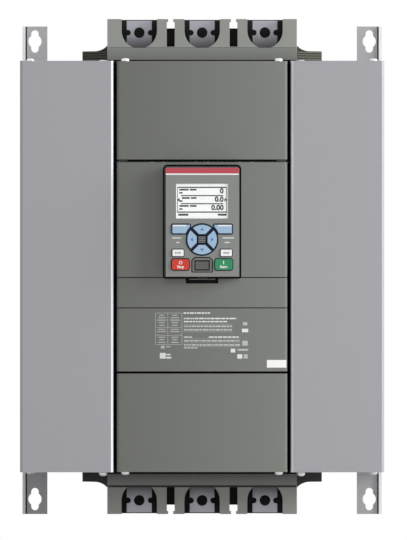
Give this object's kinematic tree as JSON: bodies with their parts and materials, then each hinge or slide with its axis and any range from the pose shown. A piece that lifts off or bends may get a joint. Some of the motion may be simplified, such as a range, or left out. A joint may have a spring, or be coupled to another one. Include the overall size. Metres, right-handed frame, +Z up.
{
  "type": "soft starter",
  "caption": "Wall-mounted three-phase soft starter: sheet side covers round a bulging moulded front with keypad and display, busbar terminals top and bottom, keyhole tabs.",
  "frame": {"origin": "centre of the four mounting keyholes, on the wall plane", "axes": "+Z up, +X to the right seen from the front, +Y into the wall, so the front faces -Y"},
  "size_m": [0.361, 0.282, 0.4952],
  "materials": {
    "sheet_steel": "satin",
    "grey_plastic": "fine grain",
    "block_plastic": "fine grain",
    "zinc_plate": "bright zinc",
    "tinned_copper": "tin plated",
    "aluminium": "extruded",
    "black_plastic": "matt",
    "copper": "plain",
    "core_steel": "laminated",
    "carrier_plastic": "matt",
    "circuit_board": "solder mask",
    "terminal_plastic": "matt",
    "bezel_plastic": "satin",
    "flap_rubber": "matt",
    "trim_red": "satin",
    "display_glass": "clear",
    "display_panel": "lit",
    "light_pipe": "clear",
    "key_blue": "satin",
    "key_white": "satin",
    "key_red": "satin",
    "key_green": "satin"
  },
  "bodies": {
    "enclosure": {"chassis": "sheet_steel", "left_side_cover": "sheet_steel", "right_side_cover": "sheet_steel", "main_housing": "grey_plastic", "upper_front_cover": "grey_plastic", "control_cover": "grey_plastic", "lower_front_cover": "grey_plastic", "line_terminal_block": "block_plastic", "load_terminal_block": "block_plastic", "enclosure_screws": "zinc_plate", "line_busbar_l1": "tinned_copper", "line_busbar_l2": "tinned_copper", "line_busbar_l3": "tinned_copper", "load_busbar_t1": "tinned_copper", "load_busbar_t2": "tinned_copper", "load_busbar_t3": "tinned_copper", "heat_sink_left": "aluminium", "heat_sink_centre": "aluminium", "heat_sink_right": "aluminium", "thyristor_module_left": "black_plastic", "thyristor_module_centre": "black_plastic", "thyristor_module_right": "black_plastic", "fan_frame_left": "black_plastic", "fan_frame_centre": "black_plastic", "fan_frame_right": "black_plastic", "current_transformer_left": "black_plastic", "current_transformer_centre": "black_plastic", "current_transformer_right": "black_plastic", "bypass_base": "black_plastic", "bypass_fixed_contacts": "copper", "bypass_core": "core_steel", "bypass_coil": "copper", "control_board": "circuit_board", "control_terminals": "terminal_plastic", "keypad_socket": "black_plastic"},
    "keypad": {"keypad_shell": "bezel_plastic", "keypad_bezel": "bezel_plastic", "keypad_trim": "trim_red", "display_window": "display_glass", "display_panel": "display_panel", "keypad_board": "circuit_board", "status_lights": "light_pipe"},
    "soft_key_left": {"soft_key_left": "key_blue"},
    "soft_key_right": {"soft_key_right": "key_blue"},
    "arrow_key_up": {"arrow_key_up": "key_blue"},
    "arrow_key_down": {"arrow_key_down": "key_blue"},
    "arrow_key_left": {"arrow_key_left": "key_blue"},
    "arrow_key_right": {"arrow_key_right": "key_blue"},
    "mode_key": {"mode_key": "key_white"},
    "info_key": {"info_key": "key_white"},
    "stop_key": {"stop_key": "key_red"},
    "start_key": {"start_key": "key_green"},
    "usb_flap": {"usb_flap": "flap_rubber"},
    "bypass_contacts": {"bypass_carrier": "carrier_plastic", "bypass_armature": "core_steel", "bypass_bridges": "copper"},
    "fan_rotor_left": {"fan_rotor_left": "black_plastic"},
    "fan_rotor_centre": {"fan_rotor_centre": "black_plastic"},
    "fan_rotor_right": {"fan_rotor_right": "black_plastic"}
  },
  "joints": [
    {"name": "keypad_release", "type": "slide", "parent": "enclosure", "child": "keypad", "axis": [0, -1, 0], "range_m": [0, 0.03]},
    {"name": "soft_key_left_press", "type": "slide", "parent": "keypad", "child": "soft_key_left", "axis": [0, 1, 0], "range_m": [0, 0.001], "stiffness_N_per_m": 800, "springref_m": -0.0008},
    {"name": "soft_key_right_press", "type": "slide", "parent": "keypad", "child": "soft_key_right", "axis": [0, 1, 0], "range_m": [0, 0.001], "stiffness_N_per_m": 800, "springref_m": -0.0008},
    {"name": "arrow_key_up_press", "type": "slide", "parent": "keypad", "child": "arrow_key_up", "axis": [0, 1, 0], "range_m": [0, 0.001], "stiffness_N_per_m": 800, "springref_m": -0.0008},
    {"name": "arrow_key_down_press", "type": "slide", "parent": "keypad", "child": "arrow_key_down", "axis": [0, 1, 0], "range_m": [0, 0.001], "stiffness_N_per_m": 800, "springref_m": -0.0008},
    {"name": "arrow_key_left_press", "type": "slide", "parent": "keypad", "child": "arrow_key_left", "axis": [0, 1, 0], "range_m": [0, 0.001], "stiffness_N_per_m": 800, "springref_m": -0.0008},
    {"name": "arrow_key_right_press", "type": "slide", "parent": "keypad", "child": "arrow_key_right", "axis": [0, 1, 0], "range_m": [0, 0.001], "stiffness_N_per_m": 800, "springref_m": -0.0008},
    {"name": "mode_key_press", "type": "slide", "parent": "keypad", "child": "mode_key", "axis": [0, 1, 0], "range_m": [0, 0.001], "stiffness_N_per_m": 800, "springref_m": -0.0008},
    {"name": "info_key_press", "type": "slide", "parent": "keypad", "child": "info_key", "axis": [0, 1, 0], "range_m": [0, 0.001], "stiffness_N_per_m": 800, "springref_m": -0.0008},
    {"name": "stop_key_press", "type": "slide", "parent": "keypad", "child": "stop_key", "axis": [0, 1, 0], "range_m": [0, 0.001], "stiffness_N_per_m": 800, "springref_m": -0.0008},
    {"name": "start_key_press", "type": "slide", "parent": "keypad", "child": "start_key", "axis": [0, 1, 0], "range_m": [0, 0.001], "stiffness_N_per_m": 800, "springref_m": -0.0008},
    {"name": "usb_flap_hinge", "type": "hinge", "parent": "keypad", "child": "usb_flap", "pos_m": [0, -0.2796, -0.0009], "axis": [1, 0, 0], "range_deg": [0, 95], "stiffness_Nm_per_rad": 0.003},
    {"name": "bypass_close", "type": "slide", "parent": "enclosure", "child": "bypass_contacts", "axis": [0, 1, 0], "range_m": [0, 0.0058], "stiffness_N_per_m": 1500, "springref_m": -0.004},
    {"name": "fan_rotor_left_spin", "type": "hinge", "parent": "enclosure", "child": "fan_rotor_left", "pos_m": [-0.102, -0.054, 0], "axis": [0, 0, 1], "continuous": true},
    {"name": "fan_rotor_centre_spin", "type": "hinge", "parent": "enclosure", "child": "fan_rotor_centre", "pos_m": [0, -0.054, 0], "axis": [0, 0, 1], "continuous": true},
    {"name": "fan_rotor_right_spin", "type": "hinge", "parent": "enclosure", "child": "fan_rotor_right", "pos_m": [0.102, -0.054, 0], "axis": [0, 0, 1], "continuous": true}
  ]
}
